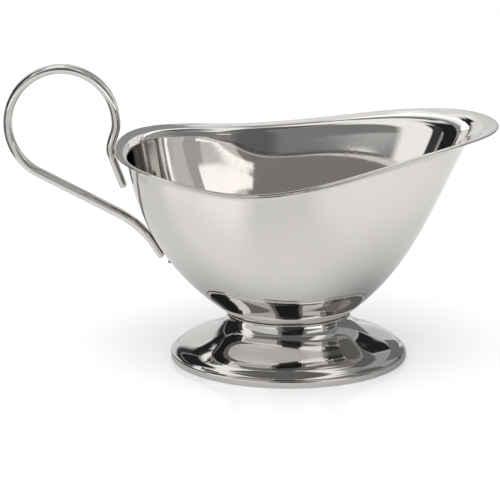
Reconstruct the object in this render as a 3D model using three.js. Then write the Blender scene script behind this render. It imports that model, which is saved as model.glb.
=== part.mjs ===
// Footed sauce boat in polished steel: a pressed bowl with a flared lip and a
// long pouring spout, a hollow oval foot, a bent handle and the weld beads
// that join them.
// Units are millimetres and +Z is up. The handle points along -X and the
// spout along +X. Everything is laid out from the middle of the foot, and the
// finished group is then moved so that its bounding box is centred on X and Y.

import * as THREE from 'three';

// Clearances and sheet.
const GAP = 0.3;                // room between two pieces that touch
const SHEET = 0.8;              // wall of the bowl
const FOOT_SHEET = 0.9;         // wall of the foot

// Rim of the bowl, seen from above.
const RIM_MIDDLE_X = 6.7;       // middle of the rim's length
const RIM_HALF_LENGTH = 75.7;
const RIM_HALF_WIDTH = 44.9;    // half-width at that middle
const RIM_TAPER = 12.7;         // narrowing from the handle end to the spout
const RIM_WAIST = -1.9;         // even change away from the middle
const RIM_NOSE = 10.1;          // fills out the spout, draws in the back
const RIM_BLUNT = 18.0;         // squares the rounding at the handle end
const BLUNT_POWER = 12;         // higher values keep that near the end
const RIM_LOW_Z = 83.0;         // lowest point of the rim
const RIM_LOW_X = -18.8;        // where that point lies
const SPOUT_RISE = 13.9;        // rise of the rim towards the spout
const BACK_RISE = 4.3;          // rise of the rim towards the handle

// Flare of the lip.
const LIP_OUT = 4.4;            // how far the lip reaches out past the wall
const LIP_UP = 3.6;             // height of the flare
const SPOUT_OUT = 9.0;          // extra reach at the tip of the spout
const SPOUT_UP = 5.0;           // extra height there
const SPOUT_SPREAD = 5;         // higher values keep the extra reach near the tip
const LIP_PULL = 0.8;           // share of the flare that still climbs steeply

// Wall and bottom of the bowl.
const NECK_Z = 19.3;            // plane in which the bowl meets the foot
const NECK_HALF_LENGTH = 24.6;
const NECK_HALF_WIDTH = 16.8;
const WALL_LEAN_BACK = 80;      // slope of the wall below the lip, in degrees
const WALL_LEAN_SIDE = 78;
const WALL_LEAN_SPOUT = 65;
const LOW_PULL_END = 0.36;      // how long the wall keeps its slope at the neck,
const LOW_PULL_SIDE = 0.2;      // at the boat's ends and at its sides
const HIGH_PULL_END = 0.42;     // how long it keeps its slope below the lip
const HIGH_PULL_SIDE = 0.6;
const BOTTOM_DROP = 5.5;        // depth of the bottom below the neck
const NECK_SLOPE = 38;          // slope of the sheet where it passes the neck

// Foot.
const FOOT_HALF_LENGTH = 47.4;
const FOOT_HALF_WIDTH = 37.3;
const BAND_HEIGHT = 3.0;        // upright edge of the foot
const BAND_WIDTH = 2.2;         // ring that the foot stands on
const BAND_ROUND = 0.6;         // rounding of its corners
const LEDGE = 1.2;              // narrow step inside that edge
const LEDGE_RISE = 0.5;         // slope of that step, from its edge to its root
const COLLAR_ROUND = 0.3;       // rounding of the collar's top edge
const SHOULDER_Z = 4.3;         // height at which the flange meets the step
const COLLAR = 1.3;             // height of the neck's upright collar
const NECK_FALL_OUT = 2.0;      // the two pulls that shape neck and flange,
const NECK_FALL_Z = 9.4;        // as distance out from the neck and height
const FLANGE_CREST_OUT = 16.4;
const FLANGE_CREST_Z = 9.8;

// Handle.
const BAR_THICK = 3.6;          // in the plane of the loop
const BAR_WIDE = 6.0;           // across the loop
const TAB_THICK = 3.1;          // flattened ends
const TAB_WIDE = 7.0;
const BAR_SQUARENESS = 2.4;     // 2 is an ellipse, higher is squarer
const LOOP_X = -89.9;           // middle of the loop
const LOOP_Z = 98.0;
const LOOP_RX = 21.4;
const LOOP_RZ = 22.6;
const HOOK_DROP = 2.2;          // the hook lies this far below the rim
const HOOK_PULL = 4.5;          // stiffness of the S bend at the hook
const SIDE_PULL = 5.1;          // and where it leaves the loop
const UPPER_TAB_LENGTH = 13.8;
const UPPER_TAB_LEAN = 20.4;    // degrees from upright
const LOWER_TAB_TOP_Z = 48.5;   // stretch of the wall that the lower tab lies on
const LOWER_TAB_LOW_Z = 44.0;
const ARM_BEND = 11.0;          // length over which the arm turns into the tab
const CORNER_SHARE = 0.9;       // how far above the tab that turn has its corner
const FLATTEN = 9.0;            // length over which the bar flattens to a tab

// Weld beads.
const BEAD_RADIUS = 0.6;
const BEAD_LENGTH = 5.0;
const BEAD_BELOW_TAB = 1.2;     // drop from the tab's inner corner to the bead

// Mesh fineness.
const AROUND = 72;
const BOTTOM_RINGS = 3;
const WALL_RINGS = 12;
const LIP_RINGS = 6;
const FOOT_RINGS = 14;
const LOOP_STEPS = 44;
const BEND_STEPS = 8;
const BAR_SIDES = 16;
const BEAD_SIDES = 10;
const STEP = 1e-4;              // for slopes taken by small differences
const HALVINGS = 40;            // for heights found by halving

const steel = (name, color, roughness) => new THREE.MeshStandardMaterial({
  name, color, roughness, metalness: 1,
});

function smooth(t) {
  const c = THREE.MathUtils.clamp(t, 0, 1);
  return c * c * (3 - 2 * c);
}

// Closed bodies from rings of points.

// Joins rings of equal length into one closed body. The rings either close on
// each other or end in a middle point on each side.
function bodyFromRings(rings, { first = null, last = null } = {}) {
  const count = rings[0].length;
  const points = rings.flat();
  const faces = [];
  const bands = first ? rings.length - 1 : rings.length;
  for (let i = 0; i < bands; i += 1) {
    const a = i * count;
    const b = ((i + 1) % rings.length) * count;
    for (let j = 0; j < count; j += 1) {
      const k = (j + 1) % count;
      faces.push(a + j, a + k, b + k, a + j, b + k, b + j);
    }
  }
  if (first) {
    const start = points.push(first) - 1;
    const end = points.push(last) - 1;
    const tail = (rings.length - 1) * count;
    for (let j = 0; j < count; j += 1) {
      const k = (j + 1) % count;
      faces.push(start, k, j);
      faces.push(end, tail + j, tail + k);
    }
  }
  const body = new THREE.BufferGeometry();
  body.setFromPoints(points);
  body.setIndex(faces);
  return facingOut(body);
}

function signedVolume(body) {
  const p = body.getAttribute('position');
  const index = body.getIndex().array;
  const [a, b, c] = [new THREE.Vector3(), new THREE.Vector3(), new THREE.Vector3()];
  let sum = 0;
  for (let i = 0; i < index.length; i += 3) {
    a.fromBufferAttribute(p, index[i]);
    b.fromBufferAttribute(p, index[i + 1]);
    c.fromBufferAttribute(p, index[i + 2]);
    sum += a.dot(b.cross(c)) / 6;
  }
  return sum;
}

function facingOut(body) {
  if (signedVolume(body) < 0) {
    body.getIndex().array.reverse();
  }
  body.computeVertexNormals();
  return body;
}

const angles = Array.from({ length: AROUND }, (_, j) => (2 * Math.PI * j) / AROUND);

// Surface of the bowl.

function rimPoint(angle) {
  const u = Math.cos(angle);
  const x = RIM_MIDDLE_X + RIM_HALF_LENGTH * u;
  const blunt = RIM_BLUNT * ((1 - u) / 2) ** BLUNT_POWER;
  const half = RIM_HALF_WIDTH - RIM_TAPER * u + RIM_WAIST * u ** 2 + RIM_NOSE * u ** 3 + blunt;
  const toSpout = (x - RIM_LOW_X) / (RIM_MIDDLE_X + RIM_HALF_LENGTH - RIM_LOW_X);
  const toBack = (RIM_LOW_X - x) / (RIM_LOW_X - RIM_MIDDLE_X + RIM_HALF_LENGTH);
  const z = RIM_LOW_Z + SPOUT_RISE * smooth(toSpout) + BACK_RISE * smooth(toBack);
  return new THREE.Vector3(x, half * Math.sin(angle), z);
}

// Outward direction of the rim, seen from above.
function rimOutward(angle) {
  const along = rimPoint(angle + STEP).sub(rimPoint(angle - STEP));
  return new THREE.Vector3(along.y, -along.x, 0).normalize();
}

const spoutShare = (angle) => ((1 + Math.cos(angle)) / 2) ** SPOUT_SPREAD;
const lipOut = (angle) => LIP_OUT + SPOUT_OUT * spoutShare(angle);
const lipUp = (angle) => LIP_UP + SPOUT_UP * spoutShare(angle);

// Line where the wall ends and the flare of the lip begins.
function lipRoot(angle) {
  const root = rimPoint(angle).addScaledVector(rimOutward(angle), -lipOut(angle));
  root.z -= lipUp(angle);
  return root;
}

const neckRadius = (angle) => Math.hypot(
  NECK_HALF_LENGTH * Math.cos(angle), NECK_HALF_WIDTH * Math.sin(angle));

const NECK_STEEPNESS = Math.tan(THREE.MathUtils.degToRad(NECK_SLOPE));

// A point of the neck, or of the bottom at a share of the neck's size.
function neckPoint(angle, share = 1) {
  const x = NECK_HALF_LENGTH * Math.cos(angle) * share;
  const y = NECK_HALF_WIDTH * Math.sin(angle) * share;
  const power = NECK_STEEPNESS * neckRadius(angle) / BOTTOM_DROP;
  return new THREE.Vector3(x, y, NECK_Z - BOTTOM_DROP * (1 - share ** power));
}

// A value that differs between the boat's sides and its ends.
const roundTheBoat = (angle, side, end) => side + (end - side) * Math.cos(angle) ** 2;

function wallLean(angle) {
  const end = Math.cos(angle) > 0 ? WALL_LEAN_SPOUT : WALL_LEAN_BACK;
  return THREE.MathUtils.degToRad(roundTheBoat(angle, WALL_LEAN_SIDE, end));
}

// Direction that climbs outwards at a given slope.
function climb(outward, slope) {
  return new THREE.Vector3(
    outward.x * Math.cos(slope), outward.y * Math.cos(slope), Math.sin(slope));
}

function wallCurve(angle) {
  const low = neckPoint(angle);
  const high = lipRoot(angle);
  const outward = high.clone().sub(low).setZ(0).normalize();
  const length = low.distanceTo(high);
  const lowPull = length * roundTheBoat(angle, LOW_PULL_SIDE, LOW_PULL_END);
  const highPull = length * roundTheBoat(angle, HIGH_PULL_SIDE, HIGH_PULL_END);
  const fromNeck = climb(outward, Math.atan(NECK_STEEPNESS)).multiplyScalar(lowPull);
  const toLip = climb(outward, wallLean(angle)).multiplyScalar(highPull);
  return new THREE.CubicBezierCurve3(low, low.clone().add(fromNeck), high.clone().sub(toLip), high);
}

function lipCurve(angle) {
  const root = lipRoot(angle);
  const edge = rimPoint(angle);
  const outward = edge.clone().sub(root).setZ(0).normalize();
  const slope = wallLean(angle);
  const middle = climb(outward, slope).multiplyScalar(LIP_PULL * lipUp(angle) / Math.sin(slope)).add(root);
  return new THREE.QuadraticBezierCurve3(root, middle, edge);
}

// Outer face of the bowl. The height runs from 0 to 1 over the bottom, from 1
// to 2 over the wall and from 2 to 3 over the lip.
function bowlPoint(angle, height) {
  if (height <= 1) {
    return neckPoint(angle, height);
  }
  if (height <= 2) {
    return wallCurve(angle).getPoint(height - 1);
  }
  return lipCurve(angle).getPoint(height - 2);
}

// Outward normal of that face, away from the food.
function bowlNormal(angle, height) {
  const high = Math.min(height + STEP, 3);
  const low = high - 2 * STEP;
  const up = bowlPoint(angle, high).sub(bowlPoint(angle, low));
  const along = bowlPoint(angle + STEP, high).sub(bowlPoint(angle - STEP, high));
  return along.cross(up).normalize();
}

function offBowl(angle, height, distance) {
  return bowlPoint(angle, height).addScaledVector(bowlNormal(angle, height), distance);
}

function bowlHeights() {
  const heights = [];
  for (let i = 1; i <= BOTTOM_RINGS; i += 1) {
    heights.push(i / BOTTOM_RINGS);
  }
  for (let i = 1; i <= WALL_RINGS; i += 1) {
    heights.push(1 + i / WALL_RINGS);
  }
  for (let i = 1; i <= LIP_RINGS; i += 1) {
    heights.push(2 + i / LIP_RINGS);
  }
  return heights;
}

function bowl() {
  const heights = bowlHeights();
  const outer = heights.map((h) => angles.map((a) => bowlPoint(a, h)));
  const inner = heights.map((h) => angles.map((a) => offBowl(a, h, -SHEET))).reverse();
  const edge = [0.25, 0.5, 0.75].map((turn) => angles.map((a) => {
    const outward = lipCurve(a).getTangent(1);
    const middle = offBowl(a, 3, -SHEET / 2);
    const across = bowlNormal(a, 3);
    middle.addScaledVector(across, Math.cos(turn * Math.PI) * SHEET / 2);
    return middle.addScaledVector(outward, Math.sin(turn * Math.PI) * SHEET / 2);
  }));
  const under = neckPoint(0, 0);
  const floor = under.clone();
  floor.z += SHEET;
  return bodyFromRings([...outer, ...edge, ...inner], { first: under, last: floor });
}

// Foot.

const FOOT_REACH = FOOT_HALF_LENGTH - NECK_HALF_LENGTH;
const FOOT_REACH_SIDE = FOOT_HALF_WIDTH - NECK_HALF_WIDTH;

// A point of the foot, given by its distance out from the neck.
function footPoint(angle, out, z) {
  const x = (NECK_HALF_LENGTH + out) * Math.cos(angle);
  const y = (NECK_HALF_WIDTH + out * FOOT_REACH_SIDE / FOOT_REACH) * Math.sin(angle);
  return new THREE.Vector3(x, y, z);
}

// Share of the neck's size that lies a given distance inside it.
const neckShare = (angle, distance) => 1 - distance / neckRadius(angle);

// Outer line of the neck and flange, as distance out and height.
const FLANGE = new THREE.CubicBezierCurve(
  new THREE.Vector2(COLLAR_ROUND / 2, NECK_Z - COLLAR),
  new THREE.Vector2(NECK_FALL_OUT, NECK_FALL_Z),
  new THREE.Vector2(FLANGE_CREST_OUT, FLANGE_CREST_Z),
  new THREE.Vector2(FOOT_REACH - BAND_WIDTH / 2 - LEDGE, SHOULDER_Z));

function footProfile() {
  const outer = [];
  const inner = [];
  for (let i = 0; i <= FOOT_RINGS; i += 1) {
    const t = i / FOOT_RINGS;
    const p = FLANGE.getPoint(t);
    const tangent = FLANGE.getTangent(t);
    outer.push([p.x, p.y]);
    inner.unshift([p.x + tangent.y * FOOT_SHEET, p.y - tangent.x * FOOT_SHEET]);
  }
  const edge = FOOT_REACH;
  const corner = BAND_ROUND * (1 - Math.SQRT1_2);
  outer.push([edge - BAND_WIDTH / 2, BAND_HEIGHT + LEDGE_RISE]);
  outer.push([edge - BAND_ROUND, BAND_HEIGHT]);
  outer.push([edge - corner, BAND_HEIGHT - corner]);
  outer.push([edge, BAND_HEIGHT - BAND_ROUND]);
  outer.push([edge, BAND_ROUND]);
  outer.push([edge - corner, corner]);
  outer.push([edge - BAND_ROUND, 0]);
  outer.push([edge - BAND_WIDTH, 0]);
  outer.push([edge - BAND_WIDTH, BAND_HEIGHT - BAND_ROUND]);
  return [...outer, ...inner];
}

function foot() {
  const rings = footProfile().map(([out, z]) => angles.map((a) => footPoint(a, out, z)));
  const innerTop = angles.map((a) => offBowl(a, neckShare(a, FOOT_SHEET), GAP));
  const outerTop = angles.map((a) => offBowl(a, neckShare(a, COLLAR_ROUND), GAP));
  return bodyFromRings([outerTop, ...rings, innerTop]);
}

// Handle.

// Height on the bowl's back end that lies at a given z.
function heightAtBack(z) {
  let low = 1;
  let high = 2;
  for (let i = 0; i < HALVINGS; i += 1) {
    const middle = (low + high) / 2;
    if (bowlPoint(Math.PI, middle).z < z) {
      low = middle;
    } else {
      high = middle;
    }
  }
  return low;
}

// Tangent point on the lower left of the loop for a line to a given point.
function loopTangentAngle(target) {
  const px = (target.x - LOOP_X) / LOOP_RX;
  const pz = (target.z - LOOP_Z) / LOOP_RZ;
  return Math.atan2(pz, px) - Math.acos(1 / Math.hypot(px, pz)) + 2 * Math.PI;
}

function loopPoint(angle) {
  return new THREE.Vector3(
    LOOP_X + LOOP_RX * Math.cos(angle), 0, LOOP_Z + LOOP_RZ * Math.sin(angle));
}

// The hook lies against the edge of the rim, and leans past it.
function hookPoint(lean) {
  const edge = rimPoint(Math.PI);
  const apart = SHEET / 2 + GAP + TAB_THICK / 2;
  const back = (apart - HOOK_DROP * Math.sin(lean)) / Math.cos(lean);
  return new THREE.Vector3(edge.x - back, 0, edge.z - HOOK_DROP);
}

function upperTab() {
  const lean = THREE.MathUtils.degToRad(UPPER_TAB_LEAN);
  const down = new THREE.Vector3(Math.sin(lean), 0, -Math.cos(lean));
  const hook = hookPoint(lean);
  const end = hook.clone().addScaledVector(down, UPPER_TAB_LENGTH);
  return { hook, end, down };
}

function lowerTab() {
  const top = heightAtBack(LOWER_TAB_TOP_Z);
  const low = heightAtBack(LOWER_TAB_LOW_Z);
  const points = [];
  for (let i = 0; i <= BEND_STEPS; i += 1) {
    const height = top + ((low - top) * i) / BEND_STEPS;
    points.push(offBowl(Math.PI, height, GAP + TAB_THICK / 2).setY(0));
  }
  return points;
}

// Middle line of the handle, from the upper tab round the loop to the lower tab.
function handleLine() {
  const { hook, end, down } = upperTab();
  const line = [end];
  for (let i = 1; i < 4; i += 1) {
    line.push(end.clone().lerp(hook, i / 4));
  }
  const side = loopPoint(0);
  const bend = new THREE.CubicBezierCurve3(
    hook, hook.clone().addScaledVector(down, -HOOK_PULL),
    side.clone().setZ(side.z - SIDE_PULL), side);
  line.push(...bend.getPoints(BEND_STEPS));

  const tab = lowerTab();
  const upwards = tab[0].clone().sub(tab[1]).normalize();
  const corner = tab[0].clone().addScaledVector(upwards, ARM_BEND * CORNER_SHARE);
  const leave = loopTangentAngle(corner);
  for (let i = 1; i <= LOOP_STEPS; i += 1) {
    line.push(loopPoint((leave * i) / LOOP_STEPS));
  }
  const arm = corner.clone().sub(loopPoint(leave)).normalize();
  const turn = new THREE.QuadraticBezierCurve3(
    corner.clone().addScaledVector(arm, -ARM_BEND), corner, tab[0]);
  line.push(...turn.getPoints(BEND_STEPS), ...tab.slice(1));
  return line;
}

// One cross-section of the bar, square to the line.
function barSection(point, tangent, thick, wide) {
  const normal = new THREE.Vector3(-tangent.z, 0, tangent.x);
  const ring = [];
  for (let i = 0; i < BAR_SIDES; i += 1) {
    const a = (2 * Math.PI * (i + 0.5)) / BAR_SIDES;
    const c = Math.sign(Math.cos(a)) * Math.abs(Math.cos(a)) ** (2 / BAR_SQUARENESS);
    const s = Math.sign(Math.sin(a)) * Math.abs(Math.sin(a)) ** (2 / BAR_SQUARENESS);
    const p = point.clone().addScaledVector(normal, (c * thick) / 2);
    p.y += (s * wide) / 2;
    ring.push(p);
  }
  return ring;
}

function handle() {
  const line = handleLine();
  const run = [0];
  for (let i = 1; i < line.length; i += 1) {
    run.push(run[i - 1] + line[i].distanceTo(line[i - 1]));
  }
  const total = run[run.length - 1];
  const lowerTabLength = lowerTab().reduce((sum, p, i, all) => (
    i ? sum + p.distanceTo(all[i - 1]) : 0), 0);
  const rings = line.map((point, i) => {
    const before = line[Math.max(i - 1, 0)];
    const after = line[Math.min(i + 1, line.length - 1)];
    const tangent = after.clone().sub(before).normalize();
    const fromTop = smooth((run[i] - UPPER_TAB_LENGTH) / FLATTEN);
    const fromLow = smooth((total - run[i] - lowerTabLength) / FLATTEN);
    const full = Math.min(fromTop, fromLow);
    const thick = TAB_THICK + (BAR_THICK - TAB_THICK) * full;
    const wide = TAB_WIDE + (BAR_WIDE - TAB_WIDE) * full;
    return barSection(point, tangent, thick, wide);
  });
  return bodyFromRings(rings, { first: line[0].clone(), last: line[line.length - 1].clone() });
}

// Weld beads.

// A short bead that lies across the handle.
function acrossBead(centre) {
  const rings = [];
  const half = BEAD_LENGTH / 2;
  const stations = [[-1, 0.45], [-0.86, 0.9], [-0.5, 1], [0.5, 1], [0.86, 0.9], [1, 0.45]];
  for (const [along, size] of stations) {
    const ring = [];
    for (let i = 0; i < BEAD_SIDES; i += 1) {
      const a = (2 * Math.PI * i) / BEAD_SIDES;
      ring.push(new THREE.Vector3(
        centre.x + BEAD_RADIUS * size * Math.cos(a),
        centre.y + half * along,
        centre.z + BEAD_RADIUS * size * Math.sin(a)));
    }
    rings.push(ring);
  }
  const first = centre.clone().setY(centre.y - half);
  const last = centre.clone().setY(centre.y + half);
  return bodyFromRings(rings, { first, last });
}

// In the corner between the upper tab and the underside of the lip: as far up
// the lip as the tab leaves room for.
function upperWeld() {
  const { hook, down } = upperTab();
  const beadAt = (height) => offBowl(Math.PI, height, GAP + BEAD_RADIUS).setY(0);
  let low = 2;
  let high = 3;
  for (let i = 0; i < HALVINGS; i += 1) {
    const middle = (low + high) / 2;
    const { x, z } = beadAt(middle).sub(hook);
    const fromTab = z * down.x - x * down.z - TAB_THICK / 2;
    if (fromTab > GAP + BEAD_RADIUS) {
      low = middle;
    } else {
      high = middle;
    }
  }
  return acrossBead(beadAt(low));
}

// Below the end of the lower tab.
function lowerWeld() {
  const tab = lowerTab();
  const end = tab[tab.length - 1];
  const down = end.clone().sub(tab[tab.length - 2]).normalize();
  const beyond = end.clone().addScaledVector(down, GAP + BEAD_RADIUS);
  const height = heightAtBack(beyond.z - BEAD_BELOW_TAB);
  return acrossBead(offBowl(Math.PI, height, GAP + BEAD_RADIUS).setY(0));
}

// Round the inside of the foot's neck, against the bottom of the bowl.
function footWeld() {
  const rings = angles.map((a) => {
    const height = neckShare(a, FOOT_SHEET + 2 * GAP + 2 * BEAD_RADIUS);
    const centre = offBowl(a, height, GAP + BEAD_RADIUS);
    const outward = centre.clone().setZ(0).normalize();
    const ring = [];
    for (let i = 0; i < BEAD_SIDES; i += 1) {
      const turn = (2 * Math.PI * i) / BEAD_SIDES;
      const p = centre.clone().addScaledVector(outward, BEAD_RADIUS * Math.cos(turn));
      p.z += BEAD_RADIUS * Math.sin(turn);
      ring.push(p);
    }
    return ring;
  });
  return bodyFromRings(rings);
}

// Assembly.

const polished = steel('polished_steel', 0xd2cfcb, 0.06);
const footPolish = steel('polished_steel_foot', 0xcdcac6, 0.07);
const barPolish = steel('polished_steel_handle', 0xd0cdc9, 0.08);
const weldMetal = steel('weld_metal', 0xb4b0aa, 0.32);

const pieces = [
  ['bowl', bowl(), polished],
  ['foot', foot(), footPolish],
  ['handle', handle(), barPolish],
  ['upper_weld', upperWeld(), weldMetal],
  ['lower_weld', lowerWeld(), weldMetal],
  ['foot_weld', footWeld(), weldMetal],
];

const whole = new THREE.Box3();
for (const [, body] of pieces) {
  body.computeBoundingBox();
  whole.union(body.boundingBox);
}
const middle = whole.getCenter(new THREE.Vector3());

const boat = new THREE.Group();
boat.name = 'sauce_boat';
for (const [name, body, material] of pieces) {
  body.translate(-middle.x, -middle.y, -whole.min.z);
  const mesh = new THREE.Mesh(body, material);
  mesh.name = name;
  boat.add(mesh);
}

export default boat;
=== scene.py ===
# %% [markdown]
# # A footed sauce boat in polished steel
# The boat is made of three pieces of stainless steel: a pressed bowl with a
# flared lip and a long spout, a hollow oval foot, and a bent bar for a handle.
# Beads of weld join them. We build each piece as a fine, smooth mesh in the
# place of its plain engineering solid, give all of them a mirror finish with
# the small marks that real steel has, and stand the boat in a photo studio.

# %% Load the fixed frame
import math
import bmesh
import bpy
import numpy as np
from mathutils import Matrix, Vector


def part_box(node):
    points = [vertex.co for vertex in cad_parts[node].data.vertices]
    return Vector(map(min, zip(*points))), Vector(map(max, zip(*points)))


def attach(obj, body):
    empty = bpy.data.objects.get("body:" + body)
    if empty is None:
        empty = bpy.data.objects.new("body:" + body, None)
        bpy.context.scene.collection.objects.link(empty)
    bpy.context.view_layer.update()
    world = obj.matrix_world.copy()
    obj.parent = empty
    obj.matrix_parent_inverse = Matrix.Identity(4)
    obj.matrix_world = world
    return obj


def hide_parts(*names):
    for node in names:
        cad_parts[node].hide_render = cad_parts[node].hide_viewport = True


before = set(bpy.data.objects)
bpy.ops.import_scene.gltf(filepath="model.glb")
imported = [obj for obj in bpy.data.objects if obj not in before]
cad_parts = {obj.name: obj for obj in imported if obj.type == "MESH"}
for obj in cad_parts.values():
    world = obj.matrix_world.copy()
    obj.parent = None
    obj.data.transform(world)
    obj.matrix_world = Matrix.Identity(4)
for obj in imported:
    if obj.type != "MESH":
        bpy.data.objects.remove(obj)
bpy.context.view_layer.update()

# %% [markdown]
# ## Where everything is
# A drawing of a boat starts from the middle of its foot. The solid model is
# centred on its whole length instead, so we ask it where its foot is, and lay
# out every curve from there. Sizes are written in millimetres, because they
# are easy to check with a ruler, and turned into metres in one place.

# %% From millimetres on the drawing to metres in the scene
MM = 0.001
foot_low, foot_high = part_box("foot")
FOOT_MIDDLE_X = (foot_low[0] + foot_high[0]) / 2


def to_scene(points):
    """Points in millimetres from the foot's middle, as metres in the scene."""
    placed = np.asarray(points, float) * MM
    return placed + np.array([FOOT_MIDDLE_X, 0.0, 0.0])


def ease(t):
    """Runs from 0 to 1 and starts and ends level."""
    c = np.clip(t, 0.0, 1.0)
    return c * c * (3 - 2 * c)


print("the foot's middle lies at x =", round(FOOT_MIDDLE_X, 5), "m")

# %% [markdown]
# ## The rim, a closed curve in space
# Seen from above, the rim is an egg: blunt at the handle, slimmer at the
# spout. Seen from the side it rises towards the spout in one soft wave. A
# subdivided cage could give such a shape, but a mirror shows every dent of a
# cage. A formula has no dents, so the whole bowl grows from one formula for
# this curve.

# %% The rim's curve
RIM_MIDDLE_X = 6.7
RIM_HALF_LENGTH = 75.7
RIM_HALF_WIDTH = 44.9
RIM_TAPER = 12.7
RIM_WAIST = -1.9
RIM_NOSE = 10.1
RIM_BLUNT, RIM_BLUNT_POWER = 18.0, 12
RIM_BACK_X, RIM_FRONT_X = RIM_MIDDLE_X - RIM_HALF_LENGTH, RIM_MIDDLE_X + RIM_HALF_LENGTH
RIM_LOW_Z = 83.0
RIM_LOW_X = -18.8
SPOUT_RISE = 13.9
BACK_RISE = 4.3


def rim_point(angle):
    """One point of the rim. Angle 0 is the tip of the spout, pi the handle's end."""
    u = np.cos(angle)
    x = RIM_MIDDLE_X + RIM_HALF_LENGTH * u
    blunt = RIM_BLUNT * ((1 - u) / 2) ** RIM_BLUNT_POWER
    half = RIM_HALF_WIDTH - RIM_TAPER * u + RIM_WAIST * u**2 + RIM_NOSE * u**3 + blunt
    to_spout = (x - RIM_LOW_X) / (RIM_FRONT_X - RIM_LOW_X)
    to_back = (RIM_LOW_X - x) / (RIM_LOW_X - RIM_BACK_X)
    z = RIM_LOW_Z + SPOUT_RISE * ease(to_spout) + BACK_RISE * ease(to_back)
    return np.stack([x, half * np.sin(angle), z], axis=-1)


rim_length = round(RIM_FRONT_X - RIM_BACK_X, 1)
print("the rim is", rim_length, "mm long and climbs to", round(RIM_LOW_Z + SPOUT_RISE, 1), "mm")

# %% [markdown]
# ## From the rim down: lip, wall and bottom
# The sheet is flared outwards at the rim, far at the spout and little
# elsewhere. Below the flare the wall runs down to an oval neck, and inside
# that neck a shallow dish closes the bottom. Each stretch is a Bezier curve
# that leaves in the direction in which the last one arrived, because a
# reflection breaks wherever two curves meet at an angle.

# %% Slopes and reaches of the lip and the wall
SHEET = 0.8
LIP_OUT, LIP_UP = 4.4, 3.6
SPOUT_OUT, SPOUT_UP, SPOUT_SPREAD = 9.0, 5.0, 5
LIP_PULL = 0.8
NECK_Z, NECK_HALF_LENGTH, NECK_HALF_WIDTH = 19.3, 24.6, 16.8
WALL_LEAN_BACK, WALL_LEAN_SIDE, WALL_LEAN_SPOUT = 80, 78, 65
LOW_PULL_SIDE, LOW_PULL_END = 0.2, 0.36
HIGH_PULL_SIDE, HIGH_PULL_END = 0.6, 0.42
BOTTOM_DROP = 5.5
NECK_STEEPNESS = math.tan(math.radians(38))
print("the sheet is", SHEET, "mm thick and the neck", 2 * NECK_HALF_LENGTH, "mm long")


# %% Helpers for directions
TINY = 1e-4
NO_LENGTH = 1e-12


def unit(v):
    return v / np.maximum(np.linalg.norm(v, axis=-1, keepdims=True), NO_LENGTH)


def level(v):
    """The same compass direction, laid level."""
    return unit(v * np.array([1.0, 1.0, 0.0]))


def climb(outward, slope):
    """Direction that climbs outwards at a slope in radians."""
    flat = outward * np.cos(slope)[..., None]
    flat[..., 2] = np.sin(slope)
    return flat


# %% Where the lip starts and the neck ends
def spout_share(angle):
    """1 at the tip of the spout, falling to 0 at the handle's end."""
    return ((1 + np.cos(angle)) / 2) ** SPOUT_SPREAD


def lip_root(angle):
    """Where the flare of the lip begins, inwards of the rim and a little below it."""
    along = rim_point(angle + TINY) - rim_point(angle - TINY)
    outward = level(np.stack([along[..., 1], -along[..., 0], 0 * angle], axis=-1))
    share = spout_share(angle)
    root = rim_point(angle) - outward * (LIP_OUT + SPOUT_OUT * share)[..., None]
    root[..., 2] -= LIP_UP + SPOUT_UP * share
    return root


def neck_radius(angle):
    """Distance from the foot's middle to the neck's oval."""
    return np.hypot(NECK_HALF_LENGTH * np.cos(angle), NECK_HALF_WIDTH * np.sin(angle))


def neck_point(angle, share=1.0):
    """The bowl's dished bottom, from its middle (0) to the neck (1)."""
    power = NECK_STEEPNESS * neck_radius(angle) / BOTTOM_DROP
    z = NECK_Z - BOTTOM_DROP * (1 - share**power)
    x = NECK_HALF_LENGTH * np.cos(angle) * share
    y = NECK_HALF_WIDTH * np.sin(angle) * share
    return np.stack([x, y, z], axis=-1)


def round_the_boat(angle, side, end):
    """A value that differs between the boat's sides and its ends."""
    return side + (end - side) * np.cos(angle) ** 2


def wall_lean(angle):
    """How steeply the wall arrives at the lip, in radians."""
    end = np.where(np.cos(angle) > 0, WALL_LEAN_SPOUT, WALL_LEAN_BACK)
    return np.radians(round_the_boat(angle, WALL_LEAN_SIDE, end))


# %% One point of the bowl, from bottom to lip
def bezier(points, t):
    """A point of a Bezier curve, found by blending neighbouring control points."""
    while len(points) > 1:
        points = [a + (b - a) * t for a, b in zip(points, points[1:])]
    return points[0]


def wall_point(angle, t):
    """A point of the curve from the neck to the root of the lip."""
    low, high = neck_point(angle), lip_root(angle)
    outward = level(high - low)
    length = np.linalg.norm(high - low, axis=-1)
    low_slope = math.atan(NECK_STEEPNESS) + 0 * length
    low_pull = length * round_the_boat(angle, LOW_PULL_SIDE, LOW_PULL_END)
    high_pull = length * round_the_boat(angle, HIGH_PULL_SIDE, HIGH_PULL_END)
    after_neck = low + climb(outward, low_slope) * low_pull[..., None]
    before_lip = high - climb(outward, wall_lean(angle)) * high_pull[..., None]
    return bezier([low, after_neck, before_lip, high], t)


def lip_point(angle, t):
    """A point of the curve from the root of the lip to the rim."""
    root, edge = lip_root(angle), rim_point(angle)
    slope = wall_lean(angle)
    rise = LIP_PULL * (LIP_UP + SPOUT_UP * spout_share(angle)) / np.sin(slope)
    turn = root + climb(level(edge - root), slope) * rise[..., None]
    return bezier([root, turn, edge], t)


def bowl_point(angle, height):
    """0 to 1 is the bottom, 1 to 2 the wall and 2 to 3 the lip."""
    if height <= 1:
        return neck_point(angle, height)
    if height <= 2:
        return wall_point(angle, height - 1)
    return lip_point(angle, height - 2)


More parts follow.
